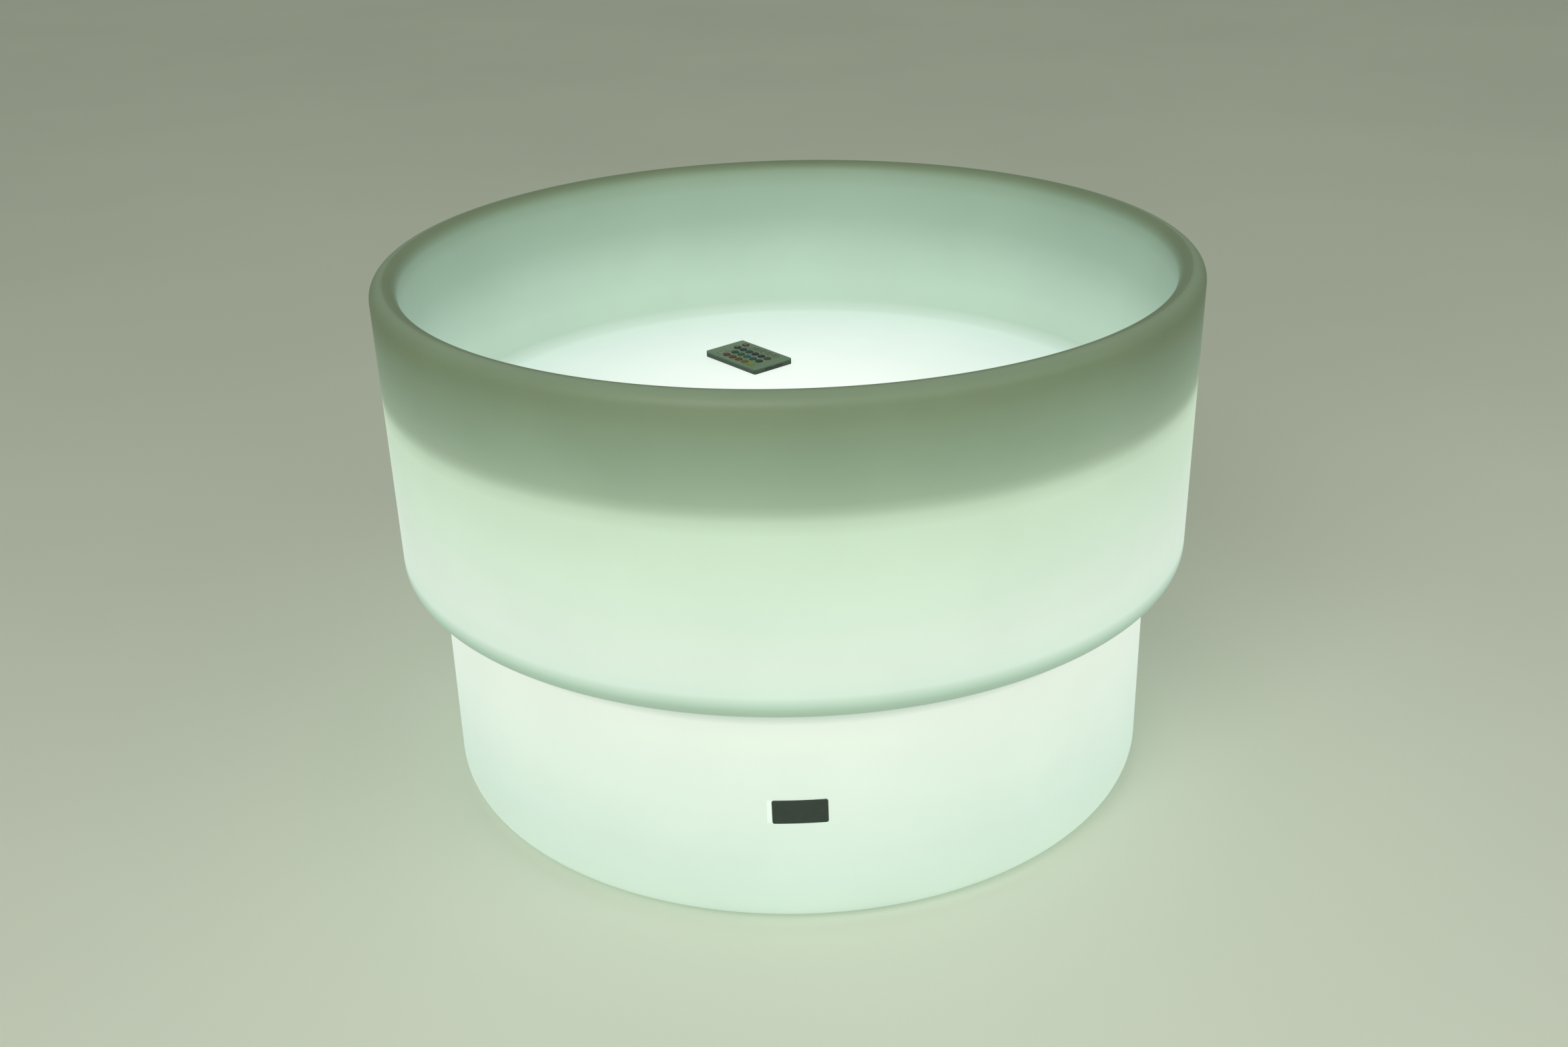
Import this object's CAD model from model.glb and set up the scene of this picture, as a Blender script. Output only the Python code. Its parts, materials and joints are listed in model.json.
# %% [markdown]
# # Light-up table: the looks
# The real object is one hollow body of milky polyethylene. Powder is melted on the inside of a
# turning mould, so the wall is even and every edge is round. Lamps in the base light it from
# inside, and a flat remote control lies in the basin on top.
# The construction is fixed already. This script loads it, draws the pieces that show again as
# smooth surfaces of the same size, and gives every piece its finish.

# %% Load the fixed frame
import json
import math

import bmesh
import bpy
import numpy as np
from mathutils import Matrix, Vector


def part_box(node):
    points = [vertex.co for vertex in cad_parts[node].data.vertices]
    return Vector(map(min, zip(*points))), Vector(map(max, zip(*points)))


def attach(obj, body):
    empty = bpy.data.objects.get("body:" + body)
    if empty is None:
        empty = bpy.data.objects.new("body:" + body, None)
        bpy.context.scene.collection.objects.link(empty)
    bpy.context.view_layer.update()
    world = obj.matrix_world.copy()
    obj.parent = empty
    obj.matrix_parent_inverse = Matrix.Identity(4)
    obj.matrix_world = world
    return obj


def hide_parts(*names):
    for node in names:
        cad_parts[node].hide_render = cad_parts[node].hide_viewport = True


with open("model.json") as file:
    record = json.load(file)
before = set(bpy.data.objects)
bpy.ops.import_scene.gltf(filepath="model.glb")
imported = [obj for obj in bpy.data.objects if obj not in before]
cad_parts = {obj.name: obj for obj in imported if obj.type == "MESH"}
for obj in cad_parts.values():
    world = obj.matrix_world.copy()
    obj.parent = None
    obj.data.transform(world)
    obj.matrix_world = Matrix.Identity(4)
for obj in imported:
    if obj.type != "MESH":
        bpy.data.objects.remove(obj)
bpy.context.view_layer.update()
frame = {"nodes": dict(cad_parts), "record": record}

MM = 0.001
SLOT_OF = {part["node"]: part["material_slot"] for part in frame["record"]["subparts"]}

# %% [markdown]
# ## Camera
# The photograph looks down into the basin from standing height. A camera is placed by three
# turns: round the upright axis, down from the horizon, and a little tilt of the hand. The
# focal length is written in the photograph's own pixels, which is how it was worked out, and
# then turned into millimetres on a sensor 36 mm wide.

# %% Camera
PHOTO_WIDTH = 2349
FOCAL_PIXELS = 2600
SENSOR_MM = 36
EYE = np.array([0.0, -1.6454, 0.9979])
TURN, DIP, TILT = -0.00577, 0.43132, -0.02729

ahead = np.array([math.sin(TURN) * math.cos(DIP), math.cos(TURN) * math.cos(DIP), -math.sin(DIP)])
level = np.array([math.cos(TURN), -math.sin(TURN), 0.0])
above = np.cross(level, ahead)
right = math.cos(TILT) * level + math.sin(TILT) * above
top = math.cos(TILT) * above - math.sin(TILT) * level

camera = bpy.data.objects.new("camera", bpy.data.cameras.new("camera"))
bpy.context.scene.collection.objects.link(camera)
camera.data.sensor_fit = "HORIZONTAL"
camera.data.sensor_width = SENSOR_MM
camera.data.lens = SENSOR_MM * FOCAL_PIXELS / PHOTO_WIDTH
placed = np.eye(4)
placed[:3] = np.column_stack([right, top, -ahead, EYE])
camera.matrix_world = Matrix(placed.tolist())
bpy.context.scene.camera = camera
bpy.context.scene.view_settings.view_transform = "Standard"
print("lens", round(camera.data.lens, 2), "mm, looking down", round(math.degrees(DIP), 1), "degrees")

# %% [markdown]
# ## Colours and nodes
# Colours are picked by eye on a screen, so they are written as screen colours, and a shader
# wants the amount of light instead. One function does that step everywhere.
# A material is a small graph. One helper adds a node, sets its options and fills its sockets
# with either a value or a link, so that a graph reads from top to bottom like a recipe.


# %% Colours
def linear(shade):
    """A screen colour such as #7C8E71 as amounts of red, green and blue light, and alpha 1.
    Each channel c from 0 to 1 becomes ((c + 0.055) / 1.055) to the power 2.4, or c / 12.92 near
    black."""
    channel = np.array([int(shade[k:k + 2], 16) for k in (1, 3, 5)]) / 255
    light = np.where(channel <= 0.04045, channel / 12.92, ((channel + 0.055) / 1.055) ** 2.4)
    return (*light.tolist(), 1.0)


print("#7C8E71 is", np.round(linear("#7C8E71"), 3).tolist(), "of full light")


# %% One helper for every node
def add(tree, kind, sockets=None, stops=(), **options):
    """Adds a node of a kind. Options are its own settings, each socket gets a value or a link,
    and stops are the places on a colour ramp, from low to high, with a screen colour or a grey
    level from 0 to 1."""
    node = tree.nodes.new("ShaderNode" + kind)
    for name, value in options.items():
        setattr(node, name, value)
    for name, value in (sockets or {}).items():
        if isinstance(value, bpy.types.NodeSocket):
            tree.links.new(value, node.inputs[name])
        else:
            node.inputs[name].default_value = value
    for k, (place, shade) in enumerate(stops):
        stop = node.color_ramp.elements[k] if k < 2 else node.color_ramp.elements.new(place)
        stop.position = place
        stop.color = linear(shade) if isinstance(shade, str) else (shade, shade, shade, 1.0)
    return node


def blank_material(name):
    """A new material: its node tree, the place on the surface in metres, and its main shader."""
    material = bpy.data.materials.new(name)
    material.use_nodes = True
    tree = material.node_tree
    place = add(tree, "TexCoord").outputs["Object"]
    return material, tree, place, tree.nodes["Principled BSDF"]


# %% [markdown]
# ## A finish for moulded, cast and rolled surfaces
# Nothing real is one flat colour. Plastic has faint clouds where it cooled unevenly, and its
# skin copies the grain of the mould, which is what breaks up a highlight. So most finishes
# here are the same recipe: two close shades that drift into each other, a roughness that drifts
# a little, and a fine relief. Both patterns are sized in real millimetres.


# %% The general finish
A, B = 6, 7  # the places of a colour Mix node's two colour sockets


def finish(name, shades, cloud_mm, grain_mm, relief_mm, gloss, stretch=(1, 1, 1), tones=(), **shader):
    """A surface with two shades in clouds of a size, a grain of another size and height, and a
    roughness between two values. Stretch makes the grain longer in a direction, as brushing or
    turning does. Tones are pairs of a height in mm and a colour that the shades are multiplied by
    there. What is the same all over the surface is set on the shader itself."""
    material, tree, place, surface = blank_material(name)
    clouds = add(tree, "TexNoise", {"Vector": place, "Scale": 1000 / cloud_mm, "Detail": 3.0})
    mixed = add(tree, "ValToRGB", {"Fac": clouds.outputs["Fac"]},
                stops=[(0.35, shades[0]), (0.65, shades[1])])
    grained = add(tree, "Mapping", {"Vector": place, "Scale": stretch})
    grain = add(tree, "TexNoise", {"Vector": grained.outputs["Vector"], "Scale": 1000 / grain_mm,
                                   "Detail": 2.0})
    dull = add(tree, "MapRange", {"Value": grain.outputs["Fac"], "From Min": 0.3, "From Max": 0.7,
                                  "To Min": gloss[0], "To Max": gloss[1]})
    relief = add(tree, "Bump", {"Height": grain.outputs["Fac"], "Strength": 0.6,
                                "Distance": relief_mm * MM})
    colour = mixed.outputs["Color"]
    if tones:
        low, high = tones[0][0], tones[-1][0]
        rise = add(tree, "MapRange", {"Value": add(tree, "SeparateXYZ", {0: place}).outputs["Z"],
                                      "From Min": low * MM, "From Max": high * MM})
        tone = add(tree, "ValToRGB", {"Fac": rise.outputs["Result"]},
                   [((at - low) / (high - low), level) for at, level in tones])
        colour = add(tree, "Mix", {0: 1.0, A: colour, B: tone.outputs["Color"]}, data_type="RGBA",
                     blend_type="MULTIPLY").outputs[2]
    tree.links.new(colour, surface.inputs["Base Color"])
    tree.links.new(dull.outputs["Result"], surface.inputs["Roughness"])
    tree.links.new(relief.outputs["Normal"], surface.inputs["Normal"])
    for socket, value in shader.items():
        surface.inputs[socket.replace("_", " ")].default_value = value
    return material


# %% [markdown]
# ## Studio
# A pale seamless floor runs on to the horizon, so there is no wall. The sky is an even pale
# colour that fills the shadows. Two large soft lamps stand behind the camera, a little above it,
# so that the front is lit flat, as in the photograph, and the sides fall off. Together they give
# a surface that faces them about full light, so a colour comes out as it is written. The table
# adds its own light to the floor round its foot.

# %% Floor and sky
FLOOR_HALF, SKY_LIGHT = 30.0, 0.36
floor_mesh = bpy.data.meshes.new("floor")
corners = np.array([[-1, -1, 0], [1, -1, 0], [1, 1, 0], [-1, 1, 0]]) * FLOOR_HALF
floor_mesh.from_pydata(corners.tolist(), [], [(0, 1, 2, 3)])
floor = bpy.data.objects.new("floor", floor_mesh)
bpy.context.scene.collection.objects.link(floor)
# Paper sweep: matt, with clouds so faint that they only keep it from looking painted.
floor_mesh.materials.append(finish("paper_sweep", ("#DBE1D2", "#DFE5D6"), 900, 2.0, 0.02, (0.8, 0.9)))

world = bpy.data.worlds.new("studio")
bpy.context.scene.world = world
world.use_nodes = True
world.node_tree.nodes["Background"].inputs["Color"].default_value = linear("#F4FAEA")
world.node_tree.nodes["Background"].inputs["Strength"].default_value = SKY_LIGHT
print("floor", 2 * FLOOR_HALF, "m across")

# %% Lamps
LAMPS_AIM = (0, 0, 0.3)
LAMPS = {
    "key": {"at": (-0.85, -2.9, 2.25), "size": 2.4, "watts": 56},
    "fill": {"at": (2.2, -1.9, 2.05), "size": 2.4, "watts": 18},
}
for name, lamp in LAMPS.items():
    light = bpy.data.lights.new(name, "AREA")
    light.shape = "DISK"
    light.size = lamp["size"]
    light.energy = lamp["watts"]
    light.color = linear("#FFFFFD")[:3]
    bulb = bpy.data.objects.new(name, light)
    bpy.context.scene.collection.objects.link(bulb)
    bulb.location = lamp["at"]
    bulb.rotation_mode = "QUATERNION"
    bulb.rotation_quaternion = (Vector(lamp["at"]) - Vector(LAMPS_AIM)).to_track_quat("Z", "Y")
    print(name, "lamp", lamp["watts"], "W at", lamp["at"])

# %% [markdown]
# ## Surfaces from numbers
# A smooth piece is a grid of points. One direction runs along a profile and the other round an
# axis or an outline, and all points are worked out at once as arrays. Each four neighbours make
# a face. Where a grid closes on itself or shrinks to a point, the doubled points are merged, so
# that the skin has no seam and no hole at its pole.


# %% From a grid of points to a piece
MERGE_DISTANCE = 0.002 * MM
SHARP_EDGE = math.radians(32)


def grid_faces(rows, columns, around, first=0):
    """Four corners for each face between neighbouring rows and columns, numbered from first. The
    face looks the way that the row step times the column step points, as a cross product."""
    row, column = np.meshgrid(np.arange(rows - 1), np.arange(columns if around else columns - 1),
                              indexing="ij")
    after = (column + 1) % columns
    corners = [row * columns + column, (row + 1) * columns + column,
               (row + 1) * columns + after, row * columns + after]
    return first + np.stack(corners, axis=-1).reshape(-1, 4)


def make_piece(name, grids, body, material, stands_for=(), modifiers=()):
    """Joins grids of points, each closed round in its column direction, into one piece that rides
    on a body. Doubled points are merged, and an edge that this leaves without a face goes."""
    first, points, faces = 0, [], []
    for grid in grids:
        rows, columns = grid.shape[:2]
        points.append(grid.reshape(-1, 3))
        faces.append(grid_faces(rows, columns, True, first))
        first += rows * columns
    mesh = bpy.data.meshes.new(name)
    mesh.from_pydata(np.concatenate(points).tolist(), [], np.concatenate(faces).tolist())
    tidy = bmesh.new()
    tidy.from_mesh(mesh)
    bmesh.ops.remove_doubles(tidy, verts=tidy.verts, dist=MERGE_DISTANCE)
    loose = [edge for edge in tidy.edges if not edge.link_faces]
    bmesh.ops.delete(tidy, geom=loose, context="EDGES")
    tidy.to_mesh(mesh)
    tidy.free()
    return finish_piece(name, mesh, body, material, stands_for, modifiers)


def finish_piece(name, mesh, body, material, stands_for=(), modifiers=()):
    """Shades a mesh smooth, but for edges sharper than the limit, gives it its material and
    modifiers, and sets it on its body."""
    mesh.polygons.foreach_set("use_smooth", np.ones(len(mesh.polygons), bool))
    mesh.set_sharp_from_angle(angle=SHARP_EDGE)
    mesh.materials.append(material)
    piece = bpy.data.objects.new(name, mesh)
    bpy.context.scene.collection.objects.link(piece)
    for kind, settings in modifiers:
        modifier = piece.modifiers.new(kind.lower(), kind)
        for setting, value in settings.items():
            setattr(modifier, setting, value)
    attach(piece, body)
    if stands_for:
        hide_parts(*stands_for)
    return piece


# %% Profiles with round corners, and turning them
def rounded_path(corners, steps=14):
    """A path through corners given as (x, y, radius), each cut by an arc that touches both of
    its legs. The arc starts at radius / tan(half the corner's angle) from the corner and turns
    about the point at radius / sin(half the angle) on the line that halves the corner."""
    path = [np.array(corners[0][:2])]
    for before, (x, y, radius), after in zip(corners, corners[1:], corners[2:]):
        corner = np.array([x, y])
        back = np.array(before[:2]) - corner
        on = np.array(after[:2]) - corner
        back, on = back / np.linalg.norm(back), on / np.linalg.norm(on)
        half = math.acos(np.clip(back @ on, -1, 1)) / 2
        halving = (back + on) / np.linalg.norm(back + on)
        centre = corner + halving * radius / math.sin(half)
        start = corner + back * radius / math.tan(half) - centre
        sweep = np.sign(back[1] * on[0] - back[0] * on[1]) * (math.pi - 2 * half)
        angle = np.linspace(0, sweep, steps)[:, None]
        across = np.array([-start[1], start[0]])
        path.extend(centre + start * np.cos(angle) + across * np.sin(angle))
    path.append(np.array(corners[-1][:2]))
    return np.array(path)


def turned(path, sides, centre=(0.0, 0.0)):
    """A path of (radius, height) carried round an upright axis: the point at radius r and angle a
    is at (r cos a, r sin a) from the centre, at its own height."""
    angle = np.linspace(0, 2 * math.pi, sides, endpoint=False)
    radius, height = path[:, :1], path[:, 1:]
    return np.stack([centre[0] + radius * np.cos(angle), centre[1] + radius * np.sin(angle),
                     height + 0 * angle], axis=-1)


# %% [markdown]
# ## The body
# One profile gives the whole body: the basin's floor and wall, the rolled rim, the wide upper
# tier, the step, the lower tier, the round foot and the recess underneath. It is turned about
# the axis. The wall is 5 mm of plastic, so the same path is moved 5 mm inwards, at right angles
# to itself, and joined to the outer path at the round opening for the lamp unit.
# Four bosses inside carry the brass inserts that the unit's screws go into.

# %% Profile of the body
RIM_RADIUS, RIM_TOP = 400 * MM, 532 * MM
LEDGE_HEIGHT, TIER_RADIUS = 238.5 * MM, 361 * MM
FLOOR_HEIGHT, FLOOR_RADIUS = 360 * MM, 365 * MM
WALL = 5 * MM
SHELL_SIDES = 288

outside = rounded_path([
    (0, FLOOR_HEIGHT, 0), (FLOOR_RADIUS, FLOOR_HEIGHT, 15 * MM),
    (RIM_RADIUS - 25.4 * MM, RIM_TOP, 12.7 * MM), (RIM_RADIUS, RIM_TOP, 12.7 * MM),
    (397.5 * MM, LEDGE_HEIGHT, 16 * MM), (TIER_RADIUS, LEDGE_HEIGHT, 8 * MM),
    (TIER_RADIUS, 3 * MM, 26 * MM), (105 * MM, 3 * MM, 8 * MM), (105 * MM, 17 * MM, 8 * MM),
    (66 * MM, 17 * MM, 0)])


def inset(path, depth):
    """The path moved to its right by a depth: each point goes along the mean of the normals of
    the two legs that meet there."""
    leg = np.diff(path, axis=0)
    normal = np.stack([leg[:, 1], -leg[:, 0]], axis=1) / np.linalg.norm(leg, axis=1)[:, None]
    mean = np.concatenate([normal[:1], normal[:-1] + normal[1:], normal[-1:]])
    return path + depth * mean / np.linalg.norm(mean, axis=1)[:, None]


inside = inset(outside, WALL)[::-1]
inside[-1, 0] = 0
print("profile", len(outside), "points outside, reach", round(outside[:, 0].max() / MM, 2), "mm")

# %% Bosses for the inserts
BOSS = np.array([(5.2, 17.5), (5.2, 27.6), (0, 27.6), (0, 31.5), (9, 31.5), (9, 17.5)]) * MM
BOSS_SIDES, SCREW_OFFSET = 32, 56.57 * MM
SCREW_SPOTS = [(sx * SCREW_OFFSET, sy * SCREW_OFFSET) for sx in (1, -1) for sy in (1, -1)]
bosses = [turned(np.concatenate([BOSS[2:], BOSS[:3]]), BOSS_SIDES, spot) for spot in SCREW_SPOTS]
print(len(bosses), "bosses")

# %% [markdown]
# ## Milky polyethylene with light behind it
# Unlit, the plastic is a dull sage grey with a waxy, faintly clouded skin. Light from the base
# goes through it. The lamps see the outer wall only up to a line, because the basin's floor
# stands in the way above it: below the line the wall is bright, and above it the wall is lit
# only by what scatters. The basin's floor is brightest over the lamps.
# That light is painted with ramps, all read from the place on the object: the outer wall by
# height, the basin's wall by height, and the basin's floor by distance from the axis.

# %% How much light comes through
# Pairs of a height or a distance from the axis, in mm, with the light there, where 1 is white, and
# with its tint. Light that has gone through more plastic is greener, as by the shade line.
OUTER_LIGHT = [(0, 0.44), (20, 0.58), (45, 0.595), (140, 0.66), (215, 0.682), (236, 0.19),
               (251, 0.335), (257, 0.465), (264, 0.61), (290, 0.615), (370, 0.565), (412, 0.52),
               (424, 0.425), (432, 0.265), (439, 0.187), (460, 0.127), (490, 0.062), (512, 0.01),
               (522, 0), (528, 0.008), (532, 0.045)]
OUTER_TINT = [(10, "#E8FFF2"), (60, "#EAFFF7"), (215, "#F9FFF9"), (236, "#DFFFF0"),
              (252, "#DAFFEF"), (264, "#ECFFF6"), (290, "#F1FFF7"), (370, "#E9FFED"),
              (425, "#E7FFE8"), (470, "#D8FFEE")]
WALL_LIGHT = [(362, 0.41), (395, 0.41), (430, 0.345), (470, 0.23), (505, 0.185), (520, 0.12),
              (529, 0.01), (532, 0)]
WALL_TINT = [(385, "#E1FFF3"), (500, "#D9FFF7")]
FLOOR_LIGHT = [(0, 0.85), (120, 0.82), (210, 0.76), (300, 0.67), (344, 0.615), (356, 0.53)]
FLOOR_TINT = [(100, "#FBFFFF"), (210, "#F5FFFD"), (300, "#F0FFFC"), (350, "#E9FFF9")]
LIGHT_TOP, LIGHT_REACH = 540, 400

polyethylene, tree, place, surface = blank_material("milky_polyethylene")
axes = add(tree, "SeparateXYZ", {0: place})
flat = add(tree, "VectorMath", {0: place, 1: (1.0, 1.0, 0.0)}, operation="MULTIPLY")
radius = add(tree, "VectorMath", {0: flat.outputs["Vector"]}, operation="LENGTH").outputs["Value"]
height = add(tree, "MapRange", {"Value": axes.outputs["Z"], "From Max": LIGHT_TOP * MM})
reach = add(tree, "MapRange", {"Value": radius, "From Max": LIGHT_REACH * MM})


def light_through(share, whole, light, tint):
    """Light by place: its amount and its tint are both read where the place is, as a share of the
    whole height or reach, and the one is multiplied by the other."""
    amount = add(tree, "ValToRGB", {"Fac": share}, [(at / whole, value) for at, value in light])
    hue = add(tree, "ValToRGB", {"Fac": share}, [(at / whole, shade) for at, shade in tint])
    return add(tree, "Mix", {0: 1.0, A: amount.outputs["Color"], B: hue.outputs["Color"]},
               data_type="RGBA", blend_type="MULTIPLY").outputs[2]


outer = light_through(height.outputs["Result"], LIGHT_TOP, OUTER_LIGHT, OUTER_TINT)
wall = light_through(height.outputs["Result"], LIGHT_TOP, WALL_LIGHT, WALL_TINT)
ground = light_through(reach.outputs["Result"], LIGHT_REACH, FLOOR_LIGHT, FLOOR_TINT)

# %% Where each ramp counts
# The basin's wall and floor are told apart by height, and both from the outside by radius: the
# rim's crest is at 387 mm. Halfway down through the floor's 5 mm of plastic, the outside begins.
WALL_BEGINS, WALL_ALONE, OUTSIDE_ENDS, BASIN_BEGINS = 1 * MM, 9 * MM, 388 * MM, 386 * MM
on_wall = add(tree, "MapRange", {"Value": axes.outputs["Z"],
                                 "From Min": FLOOR_HEIGHT + WALL_BEGINS,
                                 "From Max": FLOOR_HEIGHT + WALL_ALONE})
in_basin = add(tree, "MapRange", {"Value": radius, "From Min": OUTSIDE_ENDS,
                                  "From Max": BASIN_BEGINS})
above_floor = add(tree, "Math", {0: axes.outputs["Z"], 1: FLOOR_HEIGHT - WALL / 2},
                  operation="GREATER_THAN")
inner_share = add(tree, "Math", {0: in_basin.outputs["Result"], 1: above_floor.outputs["Value"]},
                  operation="MULTIPLY")
basin = add(tree, "Mix", {0: on_wall.outputs["Result"], A: ground, B: wall}, data_type="RGBA")
glow = add(tree, "Mix", {0: inner_share.outputs["Value"], A: outer, B: basin.outputs[2]},
           data_type="RGBA")

# %% The plastic itself
# Clouds of 110 mm change the light by a hundredth or so, as the wall's thickness does. The skin
# is a fine orange peel of 1.6 mm, drawn at its real size, and it keeps the highlight broad.
CLOUD_MM, PEEL_MM = 110, 1.6
clouds = add(tree, "TexNoise", {"Vector": place, "Scale": 1000 / CLOUD_MM, "Detail": 3.0})
cloudy = add(tree, "MapRange", {"Value": clouds.outputs["Fac"], "From Min": 0.3, "From Max": 0.7,
                                "To Min": 0.988, "To Max": 1.012})
# A strip of the plate's clear adhesive shows at the plate's left edge and shines a fifth brighter.
# The place is counted from the strip's middle in half its size, so the strip reaches from -1 to 1.
STRIP_AT, STRIP_HALF = (-26.5, -360, 126.6), (2.8, 12, 11.8)
counted = add(tree, "Mapping", {
    "Vector": place, "Scale": [1 / (half * MM) for half in STRIP_HALF],
    "Location": [-at / half for at, half in zip(STRIP_AT, STRIP_HALF)]})
apart = add(tree, "SeparateXYZ", {0: add(tree, "VectorMath", {0: counted.outputs["Vector"]},
                                         operation="ABSOLUTE").outputs["Vector"]})
wider = add(tree, "Math", {0: apart.outputs["X"], 1: apart.outputs["Y"]}, operation="MAXIMUM")
widest = add(tree, "Math", {0: wider.outputs["Value"], 1: apart.outputs["Z"]}, operation="MAXIMUM")
strip = add(tree, "MapRange", {"Value": widest.outputs["Value"], "From Min": 1.1, "From Max": 0.85,
                               "To Max": 0.2})
lively = add(tree, "Math", {0: cloudy.outputs["Result"], 1: strip.outputs["Result"]})
shade = add(tree, "ValToRGB", {"Fac": clouds.outputs["Fac"]},
            stops=[(0.35, "#798B6E"), (0.65, "#7D8F72")])
peel = add(tree, "TexNoise", {"Vector": place, "Scale": 1000 / PEEL_MM, "Detail": 1.0})
dull = add(tree, "MapRange", {"Value": peel.outputs["Fac"], "From Min": 0.3, "From Max": 0.7,
                              "To Min": 0.5, "To Max": 0.6})
skin = add(tree, "Bump", {"Height": peel.outputs["Fac"], "Strength": 0.35, "Distance": 0.05 * MM})
for output, socket in ((shade.outputs["Color"], "Base Color"), (dull.outputs["Result"], "Roughness"),
                       (skin.outputs["Normal"], "Normal"), (glow.outputs[2], "Emission Color"),
                       (lively.outputs["Value"], "Emission Strength")):
    tree.links.new(output, surface.inputs[socket])
surface.inputs["IOR"].default_value = 1.5

# %% Turn the body
body = make_piece("moulded_body", [turned(np.concatenate([outside, inside]), SHELL_SIDES), *bosses],
                  "table", polyethylene, ["body_shell"])
print("body", len(body.data.polygons), "faces")

# %% [markdown]
# ## The remote control
# It is a flat plastic box with four columns of six rubber keys. It lies on the basin's floor,
# turned 50 degrees. Everything on it is worked out in its own frame, in millimetres, with the
# head to the left, and then carried to its place by one function.

# %% The remote's own frame
REMOTE_AT = np.array([-44.6, 175.5, 360.3]) * MM
REMOTE_TURN = math.radians(-50)
LENGTH, WIDTH, CORNER, TOP, PARTING = 86, 53, 2.5, 6.35, 3.25
ROW_PITCH, COLUMN_PITCH, FIRST_ROW = 10.4, 11.8, -26.5
KEYS = [
    ["key_brighter", "key_dimmer", "key_off", "key_on"],
    ["key_red", "key_green", "key_blue", "key_white"],
    ["key_orange_red", "key_light_green", "key_royal_blue", "key_flash"],
    ["key_orange", "key_cyan", "key_violet", "key_strobe"],
    ["key_amber", "key_sky_blue", "key_purple", "key_fade"],
    ["key_yellow", "key_deep_teal", "key_pink", "key_smooth"],
]
KEY_SPOTS = {name: (FIRST_ROW + row * ROW_PITCH, (column - 1.5) * COLUMN_PITCH)
             for row, names in enumerate(KEYS) for column, name in enumerate(names)}


def on_remote(points):
    """Points in the remote's frame in mm, turned about its upright axis and moved to its place:
    (x cos a - y sin a, x sin a + y cos a, z) plus the place."""
    c, s = math.cos(REMOTE_TURN), math.sin(REMOTE_TURN)
    return points @ np.array([[c, s, 0], [-s, c, 0], [0, 0, 1]]) * MM + REMOTE_AT


# %% Outlines
def box_edge(half_x, half_y, along_x, along_y):
    """Points at even steps round a rectangle, anticlockwise from its far right corner."""
    x, y = np.linspace(1, -1, along_x, endpoint=False), np.linspace(1, -1, along_y, endpoint=False)
    quarter = [np.stack([x * half_x, 0 * x + half_y], 1), np.stack([0 * y - half_x, y * half_y], 1)]
    return np.concatenate([*quarter, -quarter[0], -quarter[1]])


def round_edge(half_x, half_y, corner, along_x, along_y, steps):
    """Points round a rectangle with round corners, as many on each side as box_edge puts there.
    Each corner takes the last steps of one side and the first of the next, on a quarter circle."""
    turn = np.linspace(0, math.pi / 2, 2 * steps, endpoint=False)
    x = np.linspace(1, -1, along_x - 2 * steps, endpoint=False) * (half_x - corner)
    y = np.linspace(1, -1, along_y - 2 * steps, endpoint=False) * (half_y - corner)
    arc = corner * np.stack([np.cos(turn), np.sin(turn)], 1)
    turned_arc = corner * np.stack([-np.sin(turn), np.cos(turn)], 1)
    far = np.concatenate([arc + (half_x - corner, half_y - corner), np.stack([x, 0 * x + half_y], 1),
                          turned_arc + (corner - half_x, half_y - corner),
                          np.stack([0 * y - half_x, y], 1)])
    return np.roll(np.concatenate([far, -far]), -steps, axis=0)


# %% [markdown]
# ## The upper half of its case
# The top is a thin plate with 24 round holes. Each hole sits in its own tile: rings of points go
# from the hole's edge out to the tile's four sides, and neighbouring tiles share those points.
# A border goes from the block of tiles to the outline, over a small round edge and down the
# side. That makes one open sheet, and Solidify gives it its thickness on the inside.

# %% Tiles, border and side wall
HOLE, LIP, EDGE, PER_TILE, CORNER_STEPS = 4.15, 0.2, 0.7, 12, 5
tile = box_edge(ROW_PITCH / 2, COLUMN_PITCH / 2, PER_TILE, PER_TILE)
bearing = np.arctan2(tile[:, 1], tile[:, 0])
circle = np.stack([np.cos(bearing), np.sin(bearing)], 1)
rings = [(HOLE * circle, TOP - 2 * LIP), (HOLE * circle, TOP - LIP),
         ((HOLE + 0.3 * LIP) * circle, TOP - 0.3 * LIP), ((HOLE + LIP) * circle, TOP), (tile, TOP)]
tiles = [np.stack([np.column_stack([ring + spot, np.full(len(ring), z)]) for ring, z in rings])
         for spot in KEY_SPOTS.values()]

block_middle = FIRST_ROW + 2.5 * ROW_PITCH
counts = (6 * PER_TILE, 4 * PER_TILE)
block = box_edge(3 * ROW_PITCH, 2 * COLUMN_PITCH, *counts) + (block_middle, 0)
fall = np.linspace(0, math.pi / 2, 7)
insets = [(EDGE * (1 - math.sin(a)), TOP - EDGE * (1 - math.cos(a))) for a in fall]
border = [(block, TOP)] + [(round_edge(LENGTH / 2 - d, WIDTH / 2 - d, CORNER - d, *counts,
                                       CORNER_STEPS), z) for d, z in [*insets, (0, PARTING)]]
sheet = np.stack([np.column_stack([ring, np.full(len(ring), z)]) for ring, z in border])
print(len(tiles), "tiles of", tiles[0].shape, "and a border of", sheet.shape)

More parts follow.
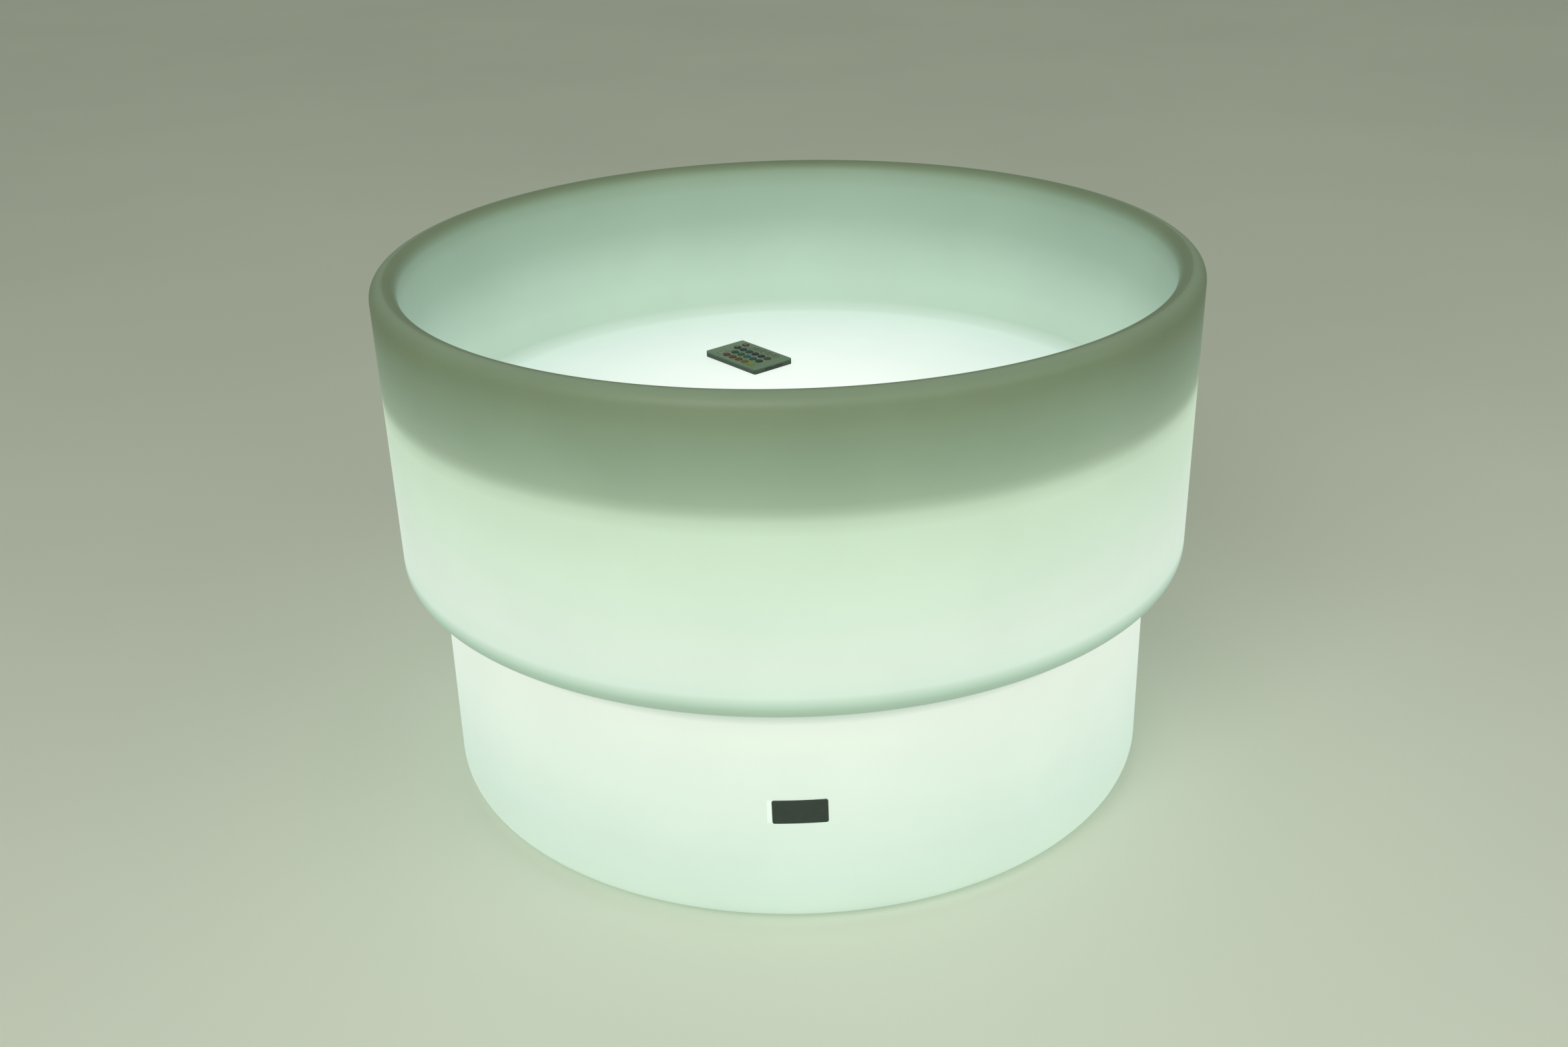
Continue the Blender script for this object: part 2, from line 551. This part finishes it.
# %% Its plastic
# Injection-moulded ABS: a grey with some green in it, satin, with a spark-eroded grain of half a
# millimetre that keeps fingerprints from showing. Below the round edge the grain is deeper and
# the plastic looks darker, most of all under the line where the two halves meet.
CASE_TONES = [(361, "#66766E"), (363.4, "#6D7E76"), (363.8, "#7C8E86"), (365.6, "#8FA097"),
              (366.5, "#FFFFFF"), (368, "#FFFFFF")]
abs_grey = finish("satin_abs", ("#6E856D", "#738A72"), 20, 0.5, 0.03, (0.42, 0.55), tones=CASE_TONES)
case_top = make_piece("remote_case_top", [on_remote(grid) for grid in [*tiles, sheet]], "remote",
                      abs_grey, ["remote_case_upper"],
                      [("SOLIDIFY", {"thickness": 0.8 * MM, "offset": -1.0})])
print("case top", len(case_top.data.polygons), "faces")

# %% [markdown]
# ## The keys
# Each key is a button of silicone rubber with a crown that rises a tenth of a millimetre in the
# middle, a round edge, and a collar that keeps it under the case. All are the same turned
# profile. The real remote shows its colours dulled by the glow behind it, so the shades are deep.

# %% One key's profile
KEY_RADIUS, KEY_TOP, CROWN, KEY_EDGE, KEY_SIDES = 4.0, 7.31, 0.12, 0.6, 48
COLLAR_RADIUS, COLLAR_TOP, COLLAR_UNDER = 4.45, 5.45, 5.05


def crown(distance):
    """Height of a key's top at a distance from its middle: it falls with the distance squared."""
    return KEY_TOP - CROWN * (distance / KEY_RADIUS) ** 2


flat_part = np.linspace(0, KEY_RADIUS - KEY_EDGE, 6)
bend = np.linspace(0.15, math.pi / 2, 6)
edge_height = crown(KEY_RADIUS - KEY_EDGE) - KEY_EDGE
key_path = np.concatenate([
    np.stack([flat_part, crown(flat_part)], 1),
    np.stack([KEY_RADIUS - KEY_EDGE + KEY_EDGE * np.sin(bend),
              edge_height + KEY_EDGE * np.cos(bend)], 1),
    [(KEY_RADIUS, COLLAR_TOP), (COLLAR_RADIUS, COLLAR_TOP), (COLLAR_RADIUS, COLLAR_UNDER),
     (0, COLLAR_UNDER)]])
print("key", round(2 * KEY_RADIUS, 1), "mm across,", round(KEY_TOP - TOP, 2), "mm above the case")

# %% Twenty-four keys
KEY_SHADES = {
    "key_brighter": "#819580", "key_dimmer": "#7F937E", "key_off": "#1E241C", "key_on": "#603824",
    "key_red": "#5F3022", "key_green": "#1C462B", "key_blue": "#20303C", "key_white": "#748875",
    "key_orange_red": "#613624", "key_light_green": "#285738", "key_royal_blue": "#283C4B",
    "key_flash": "#70846F", "key_orange": "#694124", "key_cyan": "#2E5861", "key_violet": "#26292B",
    "key_strobe": "#70846F", "key_amber": "#725D23", "key_sky_blue": "#224D55",
    "key_purple": "#28292D", "key_fade": "#70846F", "key_yellow": "#869325",
    "key_deep_teal": "#17373E", "key_pink": "#523A3A", "key_smooth": "#70846F"}


def darker(shade, share):
    """The same screen colour with each channel taken down by a share."""
    return "#" + "".join(f"{round(int(shade[k:k + 2], 16) * (1 - share)):02X}" for k in (1, 3, 5))


for name, spot in KEY_SPOTS.items():
    # Silicone rubber: soft and matt, with a fine dust of moulding grain.
    rubber = finish("silicone_" + name, (darker(KEY_SHADES[name], 0.06), KEY_SHADES[name]),
                    3, 0.4, 0.02, (0.55, 0.7))
    make_piece(name + "_cap", [on_remote(turned(key_path, KEY_SIDES, spot))], name, rubber,
               [name])
print(len(KEY_SPOTS), "keys")

# %% [markdown]
# ## Words on the keys
# The words are printed in thin ink. Only plain words for what a key does are drawn. A text
# object gives their outlines, and it is turned into a mesh, laid on the key's crown and
# carried to the remote's place, so that it bends over the crown as ink would.

# %% Ink
WORDS = {"key_brighter": ("+", 4.2), "key_dimmer": ("-", 4.2), "key_off": ("OFF", 2.6),
         "key_on": ("ON", 2.8), "key_flash": ("FLASH", 3.6), "key_strobe": ("STROBE", 3.6),
         "key_fade": ("FADE", 3.6), "key_smooth": ("SMOOTH", 3.6)}
WIDEST, INK_LIFT, BOLDER = 6.0, 0.012, {"pale_ink": 0.04, "dark_ink": 0.09}
# Screen-printed ink: flat and slightly glossier than the rubber under it.
pale_ink = finish("pale_ink", ("#A9AE9F", "#AFB4A5"), 2, 0.2, 0.005, (0.4, 0.5))
dark_ink = finish("dark_ink", ("#12170F", "#171C14"), 2, 0.2, 0.005, (0.5, 0.6))


def print_word(name, word, size, ink):
    """A word on a key: its text's x runs across the remote and its y towards the remote's head,
    and each point takes the crown's height at its distance from the key's middle. A long word is
    squeezed to the width that a key has room for: x times that width over its own."""
    letters = bpy.data.curves.new(name + "_word", "FONT")
    letters.body, letters.size = word, size
    letters.align_x, letters.align_y = "CENTER", "CENTER"
    letters.offset = BOLDER[ink.name]
    maker = bpy.data.objects.new(name + "_letters", letters)
    bpy.context.scene.collection.objects.link(maker)
    bpy.context.view_layer.update()
    mesh = bpy.data.meshes.new_from_object(maker.evaluated_get(bpy.context.evaluated_depsgraph_get()))
    bpy.data.objects.remove(maker)
    flat = np.zeros(len(mesh.vertices) * 3)
    mesh.vertices.foreach_get("co", flat)
    across, up = flat.reshape(-1, 3)[:, 0], flat.reshape(-1, 3)[:, 1]
    across *= min(1, WIDEST / np.ptp(across))
    lifted = crown(np.hypot(across, up)) + INK_LIFT
    spot = KEY_SPOTS[name]
    laid = on_remote(np.column_stack([spot[0] - up, spot[1] + across, lifted]))
    mesh.vertices.foreach_set("co", laid.astype(np.float32).ravel())
    mesh.materials.clear()
    return finish_piece(name + "_print", mesh, name, ink)


for name, (word, size) in WORDS.items():
    printed = print_word(name, word, size, pale_ink if name in ("key_off", "key_on") else dark_ink)
    print(word, len(printed.data.polygons), "faces")

# %% [markdown]
# ## The plate on the front
# A small dark plate of polyester film with a bare face is stuck to the lower tier and bends with
# the wall. Its outline is carried from the middle of its face over a small round edge to its
# back, as copies of one outline that grow and shrink, and then bent: a distance along the plate
# becomes an angle round the axis.

# %% Plate
PLATE_HALF, PLATE_CORNER, PLATE_EDGE, PLATE_THICK = (25, 12), 2.0, 0.25, 0.8
PLATE_HEIGHT, PLATE_SEAT, PLATE_TURN = 127, 361.3, math.radians(0.85)
SHARES = (0, 0.3, 0.6, 0.85)
rounding = np.linspace(0, math.pi / 2, 5)
plate_rings = [(share, 0, PLATE_THICK) for share in SHARES]
plate_rings += [(1, PLATE_EDGE * (1 - math.sin(a)), PLATE_THICK - PLATE_EDGE * (1 - math.cos(a)))
                for a in rounding]
plate_rings += [(share, 0, 0) for share in (1, *reversed(SHARES))]
plate = []
for share, cut, lift in plate_rings:
    ring = share * round_edge(PLATE_HALF[0] - cut, PLATE_HALF[1] - cut, PLATE_CORNER - cut, 40, 20, 4)
    c, s = math.cos(PLATE_TURN), math.sin(PLATE_TURN)
    along, rise = c * ring[:, 0] - s * ring[:, 1], s * ring[:, 0] + c * ring[:, 1]
    angle = along / PLATE_SEAT
    far = PLATE_SEAT + lift
    plate.append(np.column_stack([far * np.sin(angle), -far * np.cos(angle), PLATE_HEIGHT + rise]))
plate = np.stack(plate) * MM

# %% Its film
# Tinted polyester film: near black with green in it, an even matt with the finest grain.
film = finish("tinted_film", ("#2C372F", "#303B33"), 6, 0.4, 0.01, (0.5, 0.62))
bare_plate = make_piece("bare_plate", [plate], "table", film, ["front_plate"])
print("plate", len(bare_plate.data.polygons), "faces")

# %% [markdown]
# ## Finishes of the pieces in the base and inside
# Each piece gets the finish of what it is made of: rubber, plated steel, brass, solder mask and
# so on. They are kept in a table by the names of the part's own material slots.

# %% The table of finishes
FINISHES = {
    # Rubber pad: black, dry and matt.
    "foot": finish("moulded_rubber", ("#262725", "#2C2D2B"), 8, 0.6, 0.05, (0.75, 0.9)),
    # The unit: injection-moulded ABS, off white and satin.
    "unit": finish("white_abs", ("#C9CDC6", "#CFD3CC"), 25, 0.6, 0.03, (0.4, 0.52)),
    # Silicone ring: soft grey and faintly waxy.
    "gasket": finish("grey_silicone", ("#5C5D5C", "#656665"), 6, 0.5, 0.02, (0.5, 0.65)),
    # Zinc-plated steel: bright, with a drift of the plating's haze.
    "screw": finish("zinc_plated_steel", ("#B7B7B4", "#C4C4C2"), 3, 0.3, 0.01, (0.25, 0.4),
                    Metallic=1.0),
    # Turned brass: yellow, with fine rings from the tool.
    "insert": finish("turned_brass", ("#C0A566", "#CBB175"), 3, 0.4, 0.01, (0.25, 0.38), (1, 1, 6),
                     Metallic=1.0),
    # Frosted polycarbonate: milky, and it glows.
    "dome": finish("frosted_polycarbonate", ("#D5DCD6", "#DCE3DD"), 30, 0.6, 0.03, (0.5, 0.6),
                   Emission_Color=linear("#C4D0C6"), Emission_Strength=1.0),
    # White solder mask: smooth and glossy.
    "lamp_board": finish("white_solder_mask", ("#D6D9D6", "#DDE0DD"), 15, 0.5, 0.01, (0.25, 0.35)),
    # Shrink wrap: thin glossy film over the cells.
    "battery": finish("blue_shrink_wrap", ("#22558C", "#285E98"), 12, 2.0, 0.08, (0.15, 0.25)),
    # Rolled sheet steel, brushed along its length.
    "strap": finish("rolled_steel", ("#B2B4B4", "#BEC0C0"), 8, 0.3, 0.01, (0.3, 0.45), (1, 12, 1),
                    Metallic=1.0),
    # Green solder mask over copper.
    "board": finish("green_solder_mask", ("#1F6B40", "#257648"), 6, 0.5, 0.02, (0.25, 0.35)),
    # PVC insulation: smooth, a little greasy in its shine.
    "lead": finish("black_pvc", ("#1C1C1C", "#232323"), 5, 0.5, 0.01, (0.3, 0.42)),
    # Glass-filled nylon: dark with a faint fibre grain.
    "socket": finish("glass_filled_nylon", ("#222322", "#2A2B2A"), 2, 0.3, 0.02, (0.42, 0.58)),
    # Soft PVC of the cap: dull and dark, so that it bends in its hinge without cracks.
    "cap": finish("soft_pvc", ("#3A3C3A", "#414341"), 5, 0.5, 0.03, (0.55, 0.7)),
    # Moulded nylon: black with a faint satin shine.
    "switch": finish("black_nylon", ("#1E1F1E", "#262726"), 3, 0.4, 0.02, (0.4, 0.55)),
    # Silicone button: matt and warm grey.
    "button": finish("button_silicone", ("#8C8F8B", "#949793"), 4, 0.5, 0.02, (0.55, 0.7)),
    # Clear acrylic, seen as a dark wet bead with the lamp off.
    "lens": finish("clear_acrylic", ("#8E9A90", "#98A49A"), 3, 0.8, 0.005, (0.04, 0.1)),
    "remote_case": abs_grey,
    # The tray is moulded in a deeper grey, so its end shows as a dark line at the remote's tail.
    "tray": finish("deep_grey_abs", ("#202923", "#252E28"), 10, 0.5, 0.03, (0.45, 0.6)),
    # Silicone web under the keys: milky grey and matt.
    "web": finish("milky_silicone", ("#8E9289", "#969A91"), 10, 0.5, 0.02, (0.5, 0.65)),
    # Stainless steel can of a coin cell, with the press's faint rings.
    "coin": finish("stainless_steel", ("#B9BBB9", "#C3C5C3"), 4, 0.3, 0.005, (0.2, 0.32),
                   Metallic=1.0),
    # Smoked epoxy of the infrared lamp: very dark and glossy.
    "infrared": finish("smoked_epoxy", ("#17151C", "#1C1A22"), 2, 0.5, 0.005, (0.05, 0.12)),
}
print(len(FINISHES), "finishes")

# %% [markdown]
# ## Small round pieces
# The rubber pads, the screws, the switch with its button, the charging socket, the charging light
# and the coin cell are turned shapes. From close by, their outlines have to be round, so each one
# is turned again with many sides, from the same sizes, round the middle of its own solid.

# %% Turned small parts
# Radius, height and corner radius in mm, from the axis at the top to the axis at the bottom.
PAD = [(0, 4.2, 0), (19, 4.2, 0.3), (19, 0, 1), (0, 0, 0)]
SCREW = [(0, 26.5, 0), (2.4, 26.5, 0.6), (2.4, 11, 0.1), (5, 11, 0.2), (5, 8, 1.2), (2, 8, 0.15),
         (1.85, 9.8, 0.1), (0, 9.8, 0)]
SWITCH = [(0, 31.3, 0), (7.8, 31.3, 0.4), (7.8, 11, 0.1), (10.5, 11, 0.2), (10.5, 9.2, 0.6),
          (6.3, 9.2, 0.2), (6.3, 19.1, 0.2), (0, 19.1, 0)]
BUTTON = [(0, 17.3, 0), (5.9, 17.3, 0.3), (5.9, 7.5, 0.8), (0, 7.5, 0)]
LIGHT = [(0, 15.8, 0), (1.5, 15.8, 0.2), (1.5, 11, 0.1), (2.4, 11, 0.1), (2.4, 10.2, 0.4),
         (0, 10.2, 0)]
SOCKET = [(0, 29.3, 0), (5.5, 29.3, 0.4), (5.5, 17.6, 0.1), (8, 17.6, 0.3), (8, 15.1, 0.3),
          (5.5, 15.1, 0.1), (5.5, 11, 0.1), (7.5, 11, 0.2), (7.5, 9.3, 0.5), (3.1, 9.3, 0.3),
          (3.1, 21.3, 0.1), (1, 21.3, 0.1), (1, 11.8, 0.5), (0, 11.8, 0)]
COIN = [(0, 2.5, 0), (10, 2.5, 0.5), (10, 0.3, 0.2), (8.6, 0, 0.3), (0, 0, 0)]
SMALL_PARTS = {"foot_1": PAD, "foot_2": PAD, "foot_3": PAD, "foot_4": PAD, "unit_screw_1": SCREW,
               "unit_screw_2": SCREW, "unit_screw_3": SCREW, "unit_screw_4": SCREW,
               "power_switch": SWITCH, "power_button": BUTTON, "indicator_lens": LIGHT,
               "charge_socket": SOCKET, "coin_cell": COIN}
RIDES_ON = {"power_button": "power_button", "coin_cell": "battery_tray"}
SMALL_SIDES, ARC_STEPS = 64, 6
# The screw's hole for a hexagonal key: half its width over flats, the rings that it takes in
# between two radii, and the height that it stays below.
HALF_FLATS, RING_FROM, RING_TO, HOLE_TOP = 1.5 * MM, 1.6 * MM, 1.99 * MM, 10 * MM
SIXTH = math.pi / 3


def hex_hole(grid, middle):
    """Draws the rings inside a screw's mouth in to a hexagon for its key: a point at angle a goes
    to the radius half the width over flats / cos(a counted from the middle of its flat)."""
    out = grid[..., :2] - middle
    radius = np.hypot(out[..., 0], out[..., 1])
    angle = np.arctan2(out[..., 1], out[..., 0])
    flat = HALF_FLATS / np.cos((angle + SIXTH / 2) % SIXTH - SIXTH / 2)
    inner = (radius < RING_TO) & (radius > RING_FROM) & (grid[..., 2] < HOLE_TOP)
    scale = np.where(inner, flat / np.maximum(radius, MM), 1.0)[..., None]
    return np.concatenate([middle + out * scale, grid[..., 2:]], axis=-1)


for node, corners in SMALL_PARTS.items():
    low, high = (np.array(corner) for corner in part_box(node))
    middle = (low + high) / 2
    path = rounded_path([(x * MM, z * MM, corner * MM) for x, z, corner in corners],
                        ARC_STEPS)
    path[:, 1] += low[2] - path[:, 1].min()
    grid = turned(path, SMALL_SIDES, middle[:2])
    if corners is SCREW:
        grid = hex_hole(grid, middle[:2])
    make_piece("round_" + node, [grid], RIDES_ON.get(node, "table"), FINISHES[SLOT_OF[node]],
               [node])
    print(node, "height", round(np.ptp(path[:, 1]) / MM, 2), "mm, its solid",
          round((high[2] - low[2]) / MM, 2))

# %% [markdown]
# ## Everything else
# The lamp unit, the boards, the cells and the other pieces inside keep their solids, because their
# shapes are right. Each takes its finish from the table.

# %% Dress the solids
dressed = 0
for node, solid in frame["nodes"].items():
    if solid.hide_render:
        continue
    solid.data.materials.clear()
    solid.data.materials.append(FINISHES["tray" if node == "battery_tray" else SLOT_OF[node]])
    dressed += 1
print(dressed, "solids dressed")
